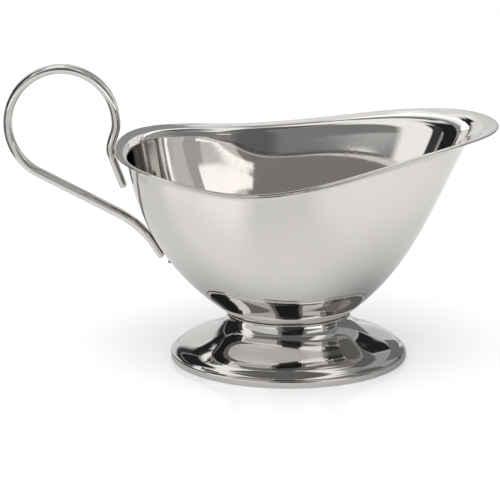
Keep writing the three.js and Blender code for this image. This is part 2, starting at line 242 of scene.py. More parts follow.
def bowl_normal(angle, height):
    """The direction straight out of the bowl's skin."""
    high = min(height + TINY, 3)
    up = bowl_point(angle, high) - bowl_point(angle, high - 2 * TINY)
    along = bowl_point(angle + TINY, high) - bowl_point(angle - TINY, high)
    return unit(np.cross(along, up))


at_side = np.array([math.pi / 2])
print("the wall is", round(float(lip_root(at_side)[0, 2] - NECK_Z), 1), "mm high at the side")

# %% [markdown]
# ## Turning rings of points into a mesh
# Every piece here is a stack of rings: round the bowl, round the foot, round
# the bar. One helper joins such rings with quads. It can close the two ends
# with a middle point, or join the last ring to the first for a ring-shaped
# piece. Smooth shading then lets the light run over the quads unbroken. A
# loft tool would hide the order of the points, which we need to keep.

# %% Helper that makes a piece from rings
def piece_from_rings(name, rings, caps=None):
    rings = [to_scene(r) for r in rings]
    count = len(rings[0])
    verts = np.concatenate(rings)
    faces = []
    neighbours = [(j, (j + 1) % count) for j in range(count)]
    bands = len(rings) if caps is None else len(rings) - 1
    for i in range(bands):
        a, b = i * count, ((i + 1) % len(rings)) * count
        faces += [(a + j, a + k, b + k, b + j) for j, k in neighbours]
    if caps is not None:
        start, end = len(verts), len(verts) + 1
        verts = np.concatenate([verts, to_scene(caps)])
        tail = (len(rings) - 1) * count
        for j, k in neighbours:
            faces += [(start, k, j), (end, tail + j, tail + k)]
    mesh = bpy.data.meshes.new(name)
    mesh.from_pydata(verts.tolist(), [], faces)
    mesh.validate()
    mesh.shade_smooth()
    piece = bpy.data.objects.new(name, mesh)
    bpy.context.scene.collection.objects.link(piece)
    return piece


# %% Helpers that turn and fit a piece
def face_outwards(piece):
    """Turns the faces round where the mesh came out inside out."""
    work = bmesh.new()
    work.from_mesh(piece.data)
    if work.calc_volume(signed=True) < 0:
        bmesh.ops.reverse_faces(work, faces=work.faces)
    work.to_mesh(piece.data)
    work.free()


def keep_within(piece, node):
    """A fine curve bulges past a plain one by a hair, so it shrinks by that hair.

    Gives back the farthest that a point moved, in millimetres.
    """
    coords = np.empty(len(piece.data.vertices) * 3)
    piece.data.vertices.foreach_get("co", coords)
    coords = coords.reshape(-1, 3)
    low, high = coords.min(axis=0), coords.max(axis=0)
    box_low, box_high = (np.array(corner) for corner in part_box(node))
    new_low, new_high = np.maximum(low, box_low), np.minimum(high, box_high)
    fitted = new_low + (coords - low) * (new_high - new_low) / (high - low)
    piece.data.vertices.foreach_set("co", fitted.ravel())
    piece.data.update()
    return np.abs(fitted - coords).max() / MM


# %% Helper that puts a piece in the place of its solid
def put_in_place(piece, node):
    """The fine piece stands for the plain solid of the same part."""
    face_outwards(piece)
    moved = round(float(keep_within(piece, node)), 3)
    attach(piece, "root")
    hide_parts(node)
    print(piece.name, "has", len(piece.data.polygons), "faces, fitted by at most", moved, "mm")
    return piece


# %% [markdown]
# ## The bowl
# A pressed sheet has two skins, a fixed thickness apart, that meet in a
# rounded edge at the rim. A Solidify modifier could give the second skin, but
# then its edge would be square. Here the inner skin is pushed in along the
# outer one's own normals, and the edge is a half circle in six small steps.

# %% Rings of the bowl
AROUND = 240
BOTTOM_STEPS, WALL_STEPS, LIP_STEPS, EDGE_STEPS = 10, 44, 20, 6


def turns(steps, shift=0.0):
    """Angles that go once round, the last one not repeated."""
    return (np.arange(steps) + shift) * 2 * math.pi / steps


turn_round = turns(AROUND)


def bowl_heights():
    """Heights of the rings, as bowl_point counts them."""
    heights = []
    for start, steps in enumerate((BOTTOM_STEPS, WALL_STEPS, LIP_STEPS)):
        heights += [start + i / steps for i in range(1, steps + 1)]
    return heights


def rim_edge_ring(turn):
    """One ring of the half circle that joins the two skins at the rim."""
    outer = bowl_point(turn_round, 3)
    across = bowl_normal(turn_round, 3)
    outward = unit(outer - bowl_point(turn_round, 3 - TINY))
    half = SHEET / 2
    return outer - across * half + across * half * math.cos(turn) + outward * half * math.sin(turn)


# %% Build the bowl
outer_skin = [bowl_point(turn_round, h) for h in bowl_heights()]
inner_skin = [bowl_point(turn_round, h) - bowl_normal(turn_round, h) * SHEET for h in bowl_heights()]
edge = [rim_edge_ring(math.pi * i / EDGE_STEPS) for i in range(1, EDGE_STEPS)]
under = neck_point(np.array(0.0), 0.0)
floor_of_bowl = under + np.array([0, 0, SHEET])
bowl = piece_from_rings("bowl_sheet", outer_skin + edge + inner_skin[::-1], caps=[under, floor_of_bowl])
put_in_place(bowl, "bowl")

# %% [markdown]
# ## The foot
# The foot is a hollow trumpet: an upright collar round the bowl's bottom, a
# neck that falls steeply, and a flange that runs out almost level to a thick
# rounded edge. Its outline is one curve carried round an oval. The sheet
# thickness comes from pushing that curve inwards, so underneath the foot is
# open, as it is on the real thing.

# %% Sizes and outline of the foot
GAP = 0.3
FOOT_SHEET = 0.9
FOOT_HALF_LENGTH, FOOT_HALF_WIDTH = 47.4, 37.3
BAND_HEIGHT, BAND_WIDTH, BAND_ROUND = 3.0, 2.2, 0.6
LEDGE, SHOULDER_Z = 1.2, 4.3
LEDGE_DIP = [(0.45, 0.66), (0.0, 0.36)]  # share of the ledge, height above the band
COLLAR, COLLAR_ROUND = 1.3, 0.3
REACH = FOOT_HALF_LENGTH - NECK_HALF_LENGTH
REACH_SIDE = FOOT_HALF_WIDTH - NECK_HALF_WIDTH
FLANGE = [
    np.array([COLLAR_ROUND / 2, NECK_Z - COLLAR]),
    np.array([2.0, 9.4]),
    np.array([16.4, 9.8]),
    np.array([REACH - BAND_WIDTH / 2 - LEDGE, SHOULDER_Z]),
]
print("the foot is", 2 * FOOT_HALF_LENGTH, "mm long and", 2 * FOOT_HALF_WIDTH, "mm wide")


# %% Helpers for points on the foot
def foot_point(angle, out, z):
    """A point of the foot, out from the neck's oval and up from the table."""
    x = (NECK_HALF_LENGTH + out) * np.cos(angle)
    y = (NECK_HALF_WIDTH + out * REACH_SIDE / REACH) * np.sin(angle)
    return np.stack([x, y, z + 0 * angle], axis=-1)


def neck_share(angle, distance):
    """Share of the neck's size that lies a distance inside it."""
    return 1 - distance / neck_radius(angle)


def arc(middle_out, middle_z, radius, start, stop, steps):
    """Points of a rounded corner, from one direction to another, in degrees."""
    angles = np.radians(np.linspace(start, stop, steps))
    return [(middle_out + radius * math.cos(a), middle_z + radius * math.sin(a)) for a in angles]


# %% The foot's outline, once round the sheet
FLANGE_STEPS, CORNER_STEPS = 56, 9


def foot_outline():
    """Distances out and heights: down the outside, round the edge and up inside."""
    outer, inner = [], []
    for i in range(FLANGE_STEPS + 1):
        t = i / FLANGE_STEPS
        point = bezier(FLANGE, t)
        tangent = unit(bezier(FLANGE, min(t + TINY, 1)) - bezier(FLANGE, min(t, 1 - TINY)))
        outer.append(tuple(point))
        inner.append((point[0] + tangent[1] * FOOT_SHEET, point[1] - tangent[0] * FOOT_SHEET))
    low = BAND_ROUND
    ledge = [(REACH - BAND_WIDTH / 2 - LEDGE * share, BAND_HEIGHT + rise) for share, rise in LEDGE_DIP]
    top = arc(REACH - low, BAND_HEIGHT - low, low, 90, 0, CORNER_STEPS)
    bottom = arc(REACH - low, low, low, 0, -90, CORNER_STEPS)
    inside = [(REACH - BAND_WIDTH, 0), (REACH - BAND_WIDTH, BAND_HEIGHT - low)]
    return outer + ledge + top + bottom + inside + inner[::-1]


# %% Build the foot
def off_bowl_bottom(angle, distance_inside, apart=GAP):
    """Points a little off the bowl's bottom, at a distance inside the neck."""
    points = []
    for a in angle:
        share = float(neck_share(a, distance_inside))
        one = np.array([a])
        points.append((bowl_point(one, share) + bowl_normal(one, share) * apart)[0])
    return np.array(points)


foot_rings = [off_bowl_bottom(turn_round, COLLAR_ROUND)]
foot_rings += [foot_point(turn_round, out, z) for out, z in foot_outline()]
foot_rings += [off_bowl_bottom(turn_round, FOOT_SHEET)]
foot = piece_from_rings("foot_shell", foot_rings)
put_in_place(foot, "foot")

# %% [markdown]
# ## The handle
# One bar, flattened where it meets the bowl, is hooked over the rim, carried
# up round an oval loop and run straight down to the wall. We lay out its
# middle line first and then sweep a rounded section along it. A Curve object
# with a bevel would do the sweep, but it could not flatten the ends and keep
# the bar's section square to the bend.

# %% Sizes of the handle
BAR_THICK, BAR_WIDE = 3.6, 6.0
TAB_THICK, TAB_WIDE = 3.1, 7.0
LOOP_X, LOOP_Z, LOOP_RX, LOOP_RZ = -89.9, 98.0, 21.4, 22.6
HOOK_DROP, HOOK_PULL, SIDE_PULL = 2.2, 4.5, 5.1
UPPER_TAB_LENGTH, UPPER_TAB_LEAN = 13.8, 20.4
LOWER_TAB_TOP_Z, LOWER_TAB_LOW_Z = 48.5, 44.0
ARM_BEND, CORNER_SHARE, FLATTEN = 11.0, 0.9, 9.0
print("the loop is", 2 * LOOP_RX, "by", 2 * LOOP_RZ, "mm along the middle of the bar")

# %% Places on the back of the bowl
HALVINGS = 40
BACK = np.array([math.pi])


def last_true(low, high, test):
    """The place between two values up to which a test holds, found by halving."""
    for _ in range(HALVINGS):
        middle = (low + high) / 2
        low, high = (middle, high) if test(middle) else (low, middle)
    return low


def height_at_back(z):
    """How far up its back the bowl reaches a height in millimetres."""
    return last_true(1.0, 2.0, lambda height: bowl_point(BACK, height)[0, 2] < z)


def off_back(height, distance):
    """A point at a distance from the back of the bowl, in the middle plane."""
    point = (bowl_point(BACK, height) + bowl_normal(BACK, height) * distance)[0]
    point[1] = 0
    return point


# %% The loop, and the hook at the rim
def loop_point(angle):
    """A point of the loop's middle line. Angle 0 is the side next to the bowl."""
    return np.array([LOOP_X + LOOP_RX * math.cos(angle), 0, LOOP_Z + LOOP_RZ * math.sin(angle)])


def loop_leave_angle(target):
    """Where a straight line to the target touches the loop."""
    px, pz = (target[0] - LOOP_X) / LOOP_RX, (target[2] - LOOP_Z) / LOOP_RZ
    return math.atan2(pz, px) - math.acos(1 / math.hypot(px, pz)) + 2 * math.pi


def upper_hook():
    """Where the bar lies against the rim's edge, and its way down from there."""
    lean = math.radians(UPPER_TAB_LEAN)
    down = np.array([math.sin(lean), 0, -math.cos(lean)])
    rim = rim_point(math.pi)
    apart = SHEET / 2 + GAP + TAB_THICK / 2
    back = (apart - HOOK_DROP * math.sin(lean)) / math.cos(lean)
    return np.array([rim[0] - back, 0, rim[2] - HOOK_DROP]), down


# %% The handle's middle line
TAB_STEPS, SWING_STEPS, LOOP_STEPS, ARM_STEPS, BEND_STEPS = 12, 40, 200, 30, 24


def run_along(points):
    """Length of the way from the first point to each point."""
    return np.concatenate([[0], np.cumsum(np.linalg.norm(np.diff(points, axis=0), axis=1))])


def shares(steps, first=0, last=0):
    """Steps from 0 to 1, with the given numbers of them left out at the ends."""
    return [i / steps for i in range(first, steps + 1 - last)]


def handle_line():
    """The bar's middle line, and the length of its lower tab."""
    hook, down = upper_hook()
    tab_end = hook + down * UPPER_TAB_LENGTH
    line = [tab_end + (hook - tab_end) * t for t in shares(TAB_STEPS, last=1)]
    side = loop_point(0)
    swing = [hook, hook - down * HOOK_PULL, side - np.array([0, 0, SIDE_PULL]), side]
    line += [bezier(swing, t) for t in shares(SWING_STEPS)]
    top, low = height_at_back(LOWER_TAB_TOP_Z), height_at_back(LOWER_TAB_LOW_Z)
    tab = [off_back(top + (low - top) * t, GAP + TAB_THICK / 2) for t in shares(TAB_STEPS)]
    corner = tab[0] + unit(tab[0] - tab[1]) * ARM_BEND * CORNER_SHARE
    leave = loop_leave_angle(corner)
    line += [loop_point(leave * t) for t in shares(LOOP_STEPS, first=1)]
    start = line[-1]
    turn_start = corner - unit(corner - start) * ARM_BEND
    line += [start + (turn_start - start) * t for t in shares(ARM_STEPS, first=1, last=1)]
    line += [bezier([turn_start, corner, tab[0]], t) for t in shares(BEND_STEPS)]
    return np.array(line + tab[1:]), run_along(tab)[-1]


middle_line, lower_tab_length = handle_line()
print("the bar is", round(float(run_along(middle_line)[-1]), 1), "mm long from end to end")

# %% A ring round the bar, and its rounded ends
BAR_SQUARENESS = 2.4
BAR_SIDES = 48
END_ROUND = 0.55
END_TURNS = np.radians([78, 60, 40, 20])


def bar_section(point, tangent, thick, wide):
    """A ring of points: an oval with a little of a rectangle in it."""
    around = turns(BAR_SIDES, shift=0.5)
    power = 2 / BAR_SQUARENESS
    c = np.sign(np.cos(around)) * np.abs(np.cos(around)) ** power
    s = np.sign(np.sin(around)) * np.abs(np.sin(around)) ** power
    across = np.array([-tangent[2], 0, tangent[0]])
    return point + across * (c * thick / 2)[:, None] + np.array([0, 1, 0]) * (s * wide / 2)[:, None]


def rounded_end(tip, inwards, tangent, thick, wide):
    """Rings of a rounded end, from its tip into the bar."""
    rings = []
    for turn in END_TURNS:
        place = tip + inwards * END_ROUND * (1 - math.sin(turn))
        pulled = END_ROUND * (1 - math.cos(turn)) * 2
        rings.append(bar_section(place, tangent, thick - pulled, wide - pulled))
    return rings


# %% Sweep the bar along that line
def build_handle(line, lower_length):
    """Rings along the middle line, flatter at the two tabs."""
    run = run_along(line)
    tangents = unit(np.gradient(line, axis=0))
    tangents[0], tangents[-1] = unit(line[1] - line[0]), unit(line[-1] - line[-2])
    full = np.minimum(ease((run - UPPER_TAB_LENGTH) / FLATTEN),
                      ease((run[-1] - run - lower_length) / FLATTEN))
    thick = TAB_THICK + (BAR_THICK - TAB_THICK) * full
    wide = TAB_WIDE + (BAR_WIDE - TAB_WIDE) * full
    rings = rounded_end(line[0], tangents[0], tangents[0], thick[0], wide[0])
    for i in range(len(line)):
        if END_ROUND < run[i] < run[-1] - END_ROUND:
            rings.append(bar_section(line[i], tangents[i], thick[i], wide[i]))
    rings += rounded_end(line[-1], -tangents[-1], tangents[-1], thick[-1], wide[-1])[::-1]
    return piece_from_rings("handle_bar", rings, caps=[line[0], line[-1]])


handle = build_handle(middle_line, lower_tab_length)
put_in_place(handle, "handle")

# %% [markdown]
# ## The welds
# A weld bead is a row of small overlapping puddles. Each bead is a short
# sausage whose thickness rises and falls once for every puddle. Under the
# foot the same sausage runs right round the neck and closes on itself. A
# bump in the material would be enough from afar, but the beads are pieces of
# their own and should look like weld from close by too.

# %% Shape of a bead
BEAD_RADIUS, BEAD_LENGTH = 0.6, 5.0
BEAD_OFF = GAP + BEAD_RADIUS
BEAD_STEPS, BEAD_SIDES, RING_SIDES = 60, 24, 16
END_BLUNTNESS, END_LEAST = 6, 0.02
PUDDLE, PUDDLE_DEPTH = 0.62, 0.06
UPWARDS = np.array([0, 0, 1.0])


def puddles(run):
    """Thickness of a bead along its run, 1 at the top of each puddle."""
    return 1 - PUDDLE_DEPTH + PUDDLE_DEPTH * np.cos(2 * math.pi * run / PUDDLE)


def bead_ring(centre, sideways, size, sides):
    """An upright ring of points round the middle line of a bead."""
    around = turns(sides)
    return centre + sideways * (size * np.cos(around))[:, None] + UPWARDS * (size * np.sin(around))[:, None]


def short_bead(name, centre):
    """A bead that lies across the boat, with blunt rounded ends."""
    half = np.array([0, BEAD_LENGTH / 2, 0])
    rings = []
    for share in np.linspace(-1, 1, BEAD_STEPS + 1):
        end = math.sqrt(max(1 - abs(share) ** END_BLUNTNESS, END_LEAST))
        size = BEAD_RADIUS * puddles(share * BEAD_LENGTH / 2) * end
        rings.append(bead_ring(centre + half * share, np.array([1.0, 0, 0]), size, BEAD_SIDES))
    return piece_from_rings(name, rings, caps=[centre - half, centre + half])


# %% Build the two short beads
BEAD_BELOW_TAB, A_LITTLE_UP = 1.2, 0.01


def corner_under_lip():
    """As far up the lip as the handle's upper tab leaves room for a bead."""
    hook, down = upper_hook()

    def clear_of_tab(height):
        away = off_back(height, BEAD_OFF) - hook
        return away[2] * down[0] - away[0] * down[2] - TAB_THICK / 2 > BEAD_OFF

    return off_back(last_true(2.0, 3.0, clear_of_tab), BEAD_OFF)


def under_lower_tab():
    """On the wall, just below the tab's end."""
    low = height_at_back(LOWER_TAB_LOW_Z)
    tab_low = off_back(low, GAP + TAB_THICK / 2)
    tab_above = off_back(low + A_LITTLE_UP, GAP + TAB_THICK / 2)
    beyond = tab_low + unit(tab_low - tab_above) * BEAD_OFF
    return off_back(height_at_back(beyond[2] - BEAD_BELOW_TAB), BEAD_OFF)


upper_weld = put_in_place(short_bead("upper_bead", corner_under_lip()), "upper_weld")
lower_weld = put_in_place(short_bead("lower_bead", under_lower_tab()), "lower_weld")

# %% Build the bead inside the neck
RING_STEPS = 720


def neck_bead():
    """A whole number of puddles goes round, so that the bead meets itself."""
    centres = off_bowl_bottom(turns(RING_STEPS), FOOT_SHEET + 2 * BEAD_OFF, apart=BEAD_OFF)
    closed = np.concatenate([centres, centres[:1]])
    whole = round(run_along(closed)[-1] / PUDDLE)
    rings = []
    for i, centre in enumerate(centres):
        size = BEAD_RADIUS * puddles(PUDDLE * whole * i / RING_STEPS)
        rings.append(bead_ring(centre, level(centre), size, RING_SIDES))
    return piece_from_rings("neck_bead", rings)


foot_weld = put_in_place(neck_bead(), "foot_weld")

# %% [markdown]
# ## Marks that every steel piece shares
# New polished steel looks like a mirror only at first sight. Close by, it has
# a veil of hairline scratches from the polishing wheel and from washing, and
# faint cloudy smudges where it was held. The welds, the foot and the bowl all
# have them, so the pattern lives in one node group. It gives a smudge mask, a
# scratch mask and a height, and each material decides how strongly to use
# them. Painting the marks as pictures would tie them to one size and place.

# %% Helpers that add nodes, links and groups
def add(tree, kind, **settings):
    """Adds a node, sets its own settings and the values of its sockets."""
    node = tree.nodes.new("ShaderNode" + kind)
    for key, value in settings.items():
        if key[0].isupper():
            node.inputs[key.replace("_", " ")].default_value = value
        else:
            setattr(node, key, value)
    return node


def set_or_link(tree, socket, what):
    """Links another node's output to a socket, or sets a plain value on it."""
    if hasattr(what, "is_output"):
        tree.links.new(what, socket)
    else:
        socket.default_value = what


def new_group(name, inputs, outputs):
    """An empty node group, with its sockets made, and its two end nodes."""
    group = bpy.data.node_groups.new(name, "ShaderNodeTree")
    for label, value in inputs.items():
        socket = group.interface.new_socket(label, in_out="INPUT", socket_type="NodeSocketFloat")
        socket.default_value = value
    for label, kind in outputs.items():
        group.interface.new_socket(label, in_out="OUTPUT", socket_type="NodeSocket" + kind)
    start = group.nodes.new("NodeGroupInput")
    end = group.nodes.new("NodeGroupOutput")
    return group, start, end


# %% Helpers for noise, masks and colours
def scaled_noise(tree, source, scale, detail, stretch=(1, 1, 1)):
    """Noise over the object's own coordinates, stretched along its axes."""
    mapping = add(tree, "Mapping")
    mapping.inputs["Scale"].default_value = stretch
    noise = add(tree, "TexNoise", Scale=scale, Detail=detail)
    tree.links.new(source, mapping.inputs["Vector"])
    tree.links.new(mapping.outputs["Vector"], noise.inputs["Vector"])
    return noise.outputs["Fac"]


def ramp(tree, source, low, high, to_low=0.0, to_high=1.0):
    """Maps a range of values to another and holds its ends."""
    node = add(tree, "MapRange", interpolation_type="SMOOTHSTEP")
    tree.links.new(source, node.inputs["Value"])
    for label, value in (("From Min", low), ("From Max", high), ("To Min", to_low), ("To Max", to_high)):
        node.inputs[label].default_value = value
    return node.outputs["Result"]


def combine(tree, operation, a, b=0.0):
    """One sum of two numbers, each a plain value or another node's output."""
    node = add(tree, "Math", operation=operation)
    set_or_link(tree, node.inputs[0], a)
    set_or_link(tree, node.inputs[1], b)
    return node.outputs[0]


def mixed_colour(tree, mask, outside, inside):
    """One colour outside a mask and another one inside it."""
    mix = add(tree, "Mix", data_type="RGBA")
    mix.inputs["A"].default_value = (*outside, 1)
    mix.inputs["B"].default_value = (*inside, 1)
    tree.links.new(mask, mix.inputs["Factor"])
    return mix.outputs["Result"]


# %% The node group of polishing marks
CLOUD_SCALE, PATCH_SCALE, GRAIN_SCALE = 34, 11, 420
CLOUD_RANGE, PATCH_RANGE, HAIRLINE_RANGE = (0.46, 0.72), (0.42, 0.66), (0.60, 0.68)
HAIRLINES = [(40, 900, 900), (900, 60, 700), (500, 900, 50)]  # how the noise is stretched
GRAIN_HEIGHT, SCRATCH_DEPTH = 0.25, 0.5


def polishing_marks():
    """The node group of the marks, with two sizes going in and three values coming out."""
    group, start, end = new_group(
        "polishing_marks",
        {"Smudge Size": 1.0, "Scratch Size": 1.0},
        {"Smudge": "Float", "Scratch": "Float", "Height": "Float"})
    place = add(group, "TexCoord").outputs["Object"]
    big = add(group, "VectorMath", operation="SCALE")
    fine = add(group, "VectorMath", operation="SCALE")
    for node, label in ((big, "Smudge Size"), (fine, "Scratch Size")):
        group.links.new(place, node.inputs[0])
        group.links.new(start.outputs[label], node.inputs["Scale"])
    cloud = scaled_noise(group, big.outputs[0], CLOUD_SCALE, 4)
    patches = scaled_noise(group, big.outputs[0], PATCH_SCALE, 2)
    smudge = combine(group, "MULTIPLY",
                     ramp(group, cloud, *CLOUD_RANGE), ramp(group, patches, *PATCH_RANGE))
    scratch = 0.0
    for stretch in HAIRLINES:
        noise = scaled_noise(group, fine.outputs[0], 1.0, 2, stretch)
        scratch = combine(group, "MAXIMUM", scratch, ramp(group, noise, *HAIRLINE_RANGE))
    grain = scaled_noise(group, fine.outputs[0], GRAIN_SCALE, 3)
    raised = combine(group, "MULTIPLY", grain, GRAIN_HEIGHT)
    height = combine(group, "SUBTRACT", raised, combine(group, "MULTIPLY", scratch, SCRATCH_DEPTH))
    group.links.new(smudge, end.inputs["Smudge"])
    group.links.new(scratch, end.inputs["Scratch"])
    group.links.new(height, end.inputs["Height"])
    return group


marks = polishing_marks()
print("polishing marks:", len(marks.nodes), "nodes")

# %% [markdown]
# ## Polished steel
# Stainless steel is a pale, slightly warm metal. Its reflections are as sharp
# as the polish is fine, so roughness carries most of the finish: very low
# where it is clean, a little higher in a scratch and in a smudge. One plain
# value would do from afar, but it looks like plastic film close by. The bowl,
# the foot and the bar were polished separately, so each has its own roughness
# and smudge size. The foot's steel is also a little darker than the bowl's:
# painted shade that dims its reflections. The bar's colour lies between the two.

# %% What every metal here starts from
def worn_metal(name, smudge_size, relief_strength, relief_depth):
    """A metal with the polishing marks' relief, ready for its colour and roughness."""
    material = bpy.data.materials.new(name)
    material.use_nodes = True
    tree = material.node_tree
    shader = tree.nodes["Principled BSDF"]
    shader.inputs["Metallic"].default_value = 1.0
    worn = tree.nodes.new("ShaderNodeGroup")
    worn.node_tree = marks
    worn.inputs["Smudge Size"].default_value = smudge_size
    relief = add(tree, "Bump", Strength=relief_strength, Distance=relief_depth * MM)
    tree.links.new(worn.outputs["Height"], relief.inputs["Height"])
    tree.links.new(relief.outputs["Normal"], shader.inputs["Normal"])
    return material, tree, shader, worn


def dress(piece, material):
    """Gives a piece its only material."""
    piece.data.materials.clear()
    piece.data.materials.append(material)


# %% The material of one polished piece
SMUDGE_SHADE, SCRATCH_SHARE = 0.94, 0.5
STEEL_RELIEF = 0.02, 0.02  # strength, depth in millimetres
POLISH = [
    # piece, name, colour, roughness when clean and in a smudge, size of the smudges
    (bowl, "polished_steel_bowl", (0.71, 0.69, 0.668), 0.03, 0.09, 1.0),
    # the foot's colour is darker than the bowl's: painted shade that dims its reflections
    (foot, "polished_steel_foot", (0.69, 0.67, 0.648), 0.035, 0.09, 1.4),
    (handle, "polished_steel_handle", (0.70, 0.68, 0.658), 0.03, 0.10, 1.9),
]


def polished_steel(name, colour, clean, dull, smudge_size):
    """Mirror steel, a little duller and darker in smudges and duller in scratches."""
    material, tree, shader, worn = worn_metal(name, smudge_size, *STEEL_RELIEF)
    smudged = combine(tree, "MULTIPLY", worn.outputs["Smudge"], dull - clean)
    scratched = combine(tree, "MULTIPLY", worn.outputs["Scratch"], (dull - clean) * SCRATCH_SHARE)
    rough = combine(tree, "ADD", combine(tree, "ADD", smudged, clean), scratched)
    tree.links.new(rough, shader.inputs["Roughness"])
    shaded = [channel * SMUDGE_SHADE for channel in colour]
    tint = mixed_colour(tree, worn.outputs["Smudge"], colour, shaded)
    tree.links.new(tint, shader.inputs["Base Color"])
    return material


for piece, *finish in POLISH:
    dress(piece, polished_steel(*finish))
    print(piece.name, "dressed in", piece.data.materials[0].name)

# %% [markdown]
# ## Weld metal
# Weld metal is the same steel, but it froze in ripples and was only brushed.
# It is darker and duller, with a straw tint where the heat coloured it. The
# ripples are already in the beads' shape, so the material adds the grain.

# %% The material of the beads
BRUSHED_GREY, STRAW_TINT = (0.50, 0.485, 0.465), (0.46, 0.40, 0.31)
WELD_SMUDGES, WELD_RELIEF, WELD_ROUGHNESS = 4.0, (0.3, 0.05), (0.28, 0.42)
HEAT_SCALE, HEAT_RANGE = 300, (0.45, 0.7)


def weld_material():
    """Brushed weld metal with a straw tint in places."""
    material, tree, shader, worn = worn_metal("brushed_weld", WELD_SMUDGES, *WELD_RELIEF)
    place = add(tree, "TexCoord").outputs["Object"]
    heat = ramp(tree, scaled_noise(tree, place, HEAT_SCALE, 2), *HEAT_RANGE)
    tree.links.new(mixed_colour(tree, heat, BRUSHED_GREY, STRAW_TINT), shader.inputs["Base Color"])
    rough = ramp(tree, worn.outputs["Smudge"], 0, 1, *WELD_ROUGHNESS)
    tree.links.new(rough, shader.inputs["Roughness"])
    return material


weld_steel = weld_material()
for bead in (upper_weld, lower_weld, foot_weld):
    dress(bead, weld_steel)
print("three beads dressed in", weld_steel.name)

# %% [markdown]
# ## The room that the mirror sees
# A mirror shows its surroundings and hardly anything else, so the room decides
# how this piece looks. The room is bright, with dark places in front of the
# boat, at its left and high up, and a grey one at its right. We paint that
# room on the world as plain soft-edged areas by direction: compass angle from
# the front, and height above the horizon. A photographed room would be
# richer, but nobody could tell from it which area makes which reflection.
# Only mirror rays see the paint. The lens sees plain white there, as a
# photographer's backdrop would be, and the lamp's light stays separate, so
# that the shadow stays soft.

# %% Helpers that paint soft areas
def world_angles(tree):
    """Compass angle from the front, left negative, and height, in degrees."""
    direction = add(tree, "TexCoord").outputs["Generated"]
    parts = add(tree, "SeparateXYZ")
    tree.links.new(direction, parts.inputs[0])
    towards_viewer = combine(tree, "MULTIPLY", parts.outputs["Y"], -1.0)
    compass = combine(tree, "ARCTAN2", parts.outputs["X"], towards_viewer)
    height = combine(tree, "ARCSINE", parts.outputs["Z"])
    return combine(tree, "DEGREES", compass), combine(tree, "DEGREES", height)


def between(tree, value, low, high, soft):
    """1 between two angles, falling softly to 0 outside them."""
    rise = ramp(tree, value, low - soft, low + soft)
    fall = ramp(tree, value, high - soft, high + soft, 1.0, 0.0)
    return combine(tree, "MULTIPLY", rise, fall)


def blend(tree, mask, outside, inside):
    """One number outside a mask and another one inside it."""
    mix = add(tree, "Mix", data_type="FLOAT")
    tree.links.new(mask, mix.inputs["Factor"])
    set_or_link(tree, mix.inputs["A"], outside)
    mix.inputs["B"].default_value = inside
    return mix.outputs["Result"]


def soft_areas(tree, across, along, unit_size, areas, brightness):
    """Paints soft-edged rectangles, one over the other, on a plain brightness."""
    for _, left, right, low, high, soft, value in areas:
        mask = combine(tree, "MULTIPLY",
                       between(tree, across, left * unit_size, right * unit_size, soft * unit_size),
                       between(tree, along, low * unit_size, high * unit_size, soft * unit_size))
        brightness = blend(tree, mask, brightness, value)
    return brightness


# %% The areas of the room, one by one
PLAIN_WALL = 1.15
ROOM = [
    # name, left, right, low, high, softness (degrees), brightness
    ("dim front", -55, 70, 4, 48, 2, 0.25),
    ("dark middle of the front", -10, 20, 0, 55, 5, 0.15),
    ("dark ceiling in front", -65, 45, 48, 85, 5, 0.15),
    ("black left", -135, -80, -5, 45, 4, 0.02),
    ("black left, sharp edge", -85, -73, 0, 32, 1, 0.05),
    ("black strip far left", -155, -135, 0, 45, 1, 0.05),
    ("pale back left", -195, -150, -5, 35, 5, 0.80),
    ("thin black line", -160, -135, 35, 42, 1, 0.02),
    ("black high left", -135, -100, 50, 60, 1, 0.10),
    ("grey right", 65, 145, 5, 65, 5, 0.40),
    ("dim front right", 57, 80, 20, 45, 5, 0.25),
    ("grey back right", 150, 195, 0, 55, 3, 0.65),
    ("dark high right", 85, 155, 45, 60, 1, 0.15),
    ("small window", 25, 37, 25, 31, 2, 1.30),
    ("black back right", 145, 160, 25, 45, 2, 0.02),
]


# %% Helpers that light by kind of ray
def by_ray(tree, rays, kind, others, chosen):
    """One shader for a kind of ray and another one for all other rays."""
    mix = add(tree, "MixShader")
    tree.links.new(rays.outputs[kind], mix.inputs["Fac"])
    tree.links.new(others, mix.inputs[1])
    tree.links.new(chosen, mix.inputs[2])
    return mix.outputs[0]


def white_light(tree, strength):
    """World light with a plain strength or a painted one."""
    light = add(tree, "Background", Color=(1, 1, 1, 1))
    set_or_link(tree, light.inputs["Strength"], strength)
    return light.outputs[0]


# %% Build the world
AMBIENT_LIGHT, WHITE_BACKDROP = 0.75, 1.0


def build_world():
    """White for the lens, the painted room for mirror rays and even light for the rest."""
    world = bpy.data.worlds.new("bright_studio")
    world.use_nodes = True
    bpy.context.scene.world = world
    tree = world.node_tree
    tree.nodes.clear()
    compass, height = world_angles(tree)
    room = white_light(tree, soft_areas(tree, compass, height, 1, ROOM, PLAIN_WALL))
    rays = add(tree, "LightPath")
    surface = by_ray(tree, rays, "Is Glossy Ray", white_light(tree, AMBIENT_LIGHT), room)
    surface = by_ray(tree, rays, "Is Camera Ray", surface, white_light(tree, WHITE_BACKDROP))
    tree.links.new(surface, add(tree, "OutputWorld").inputs["Surface"])


build_world()
print("room painted with", len(ROOM), "areas")

# %% [markdown]
# ## Cards close to the boat
# Photographers of silver put white and black cards round a piece, so that its
# curves get clear light and dark bands. Some stand in front, where the foot
# and the bowl's underside show them while its inside looks over their tops.
# Others hang just behind the boat: the inside shows them as one small bright
# patch beside darker ones. One grey card stands at the right. Areas on the
# world could not do this, because they look the same from every part of the
# boat. Only reflections show the cards.

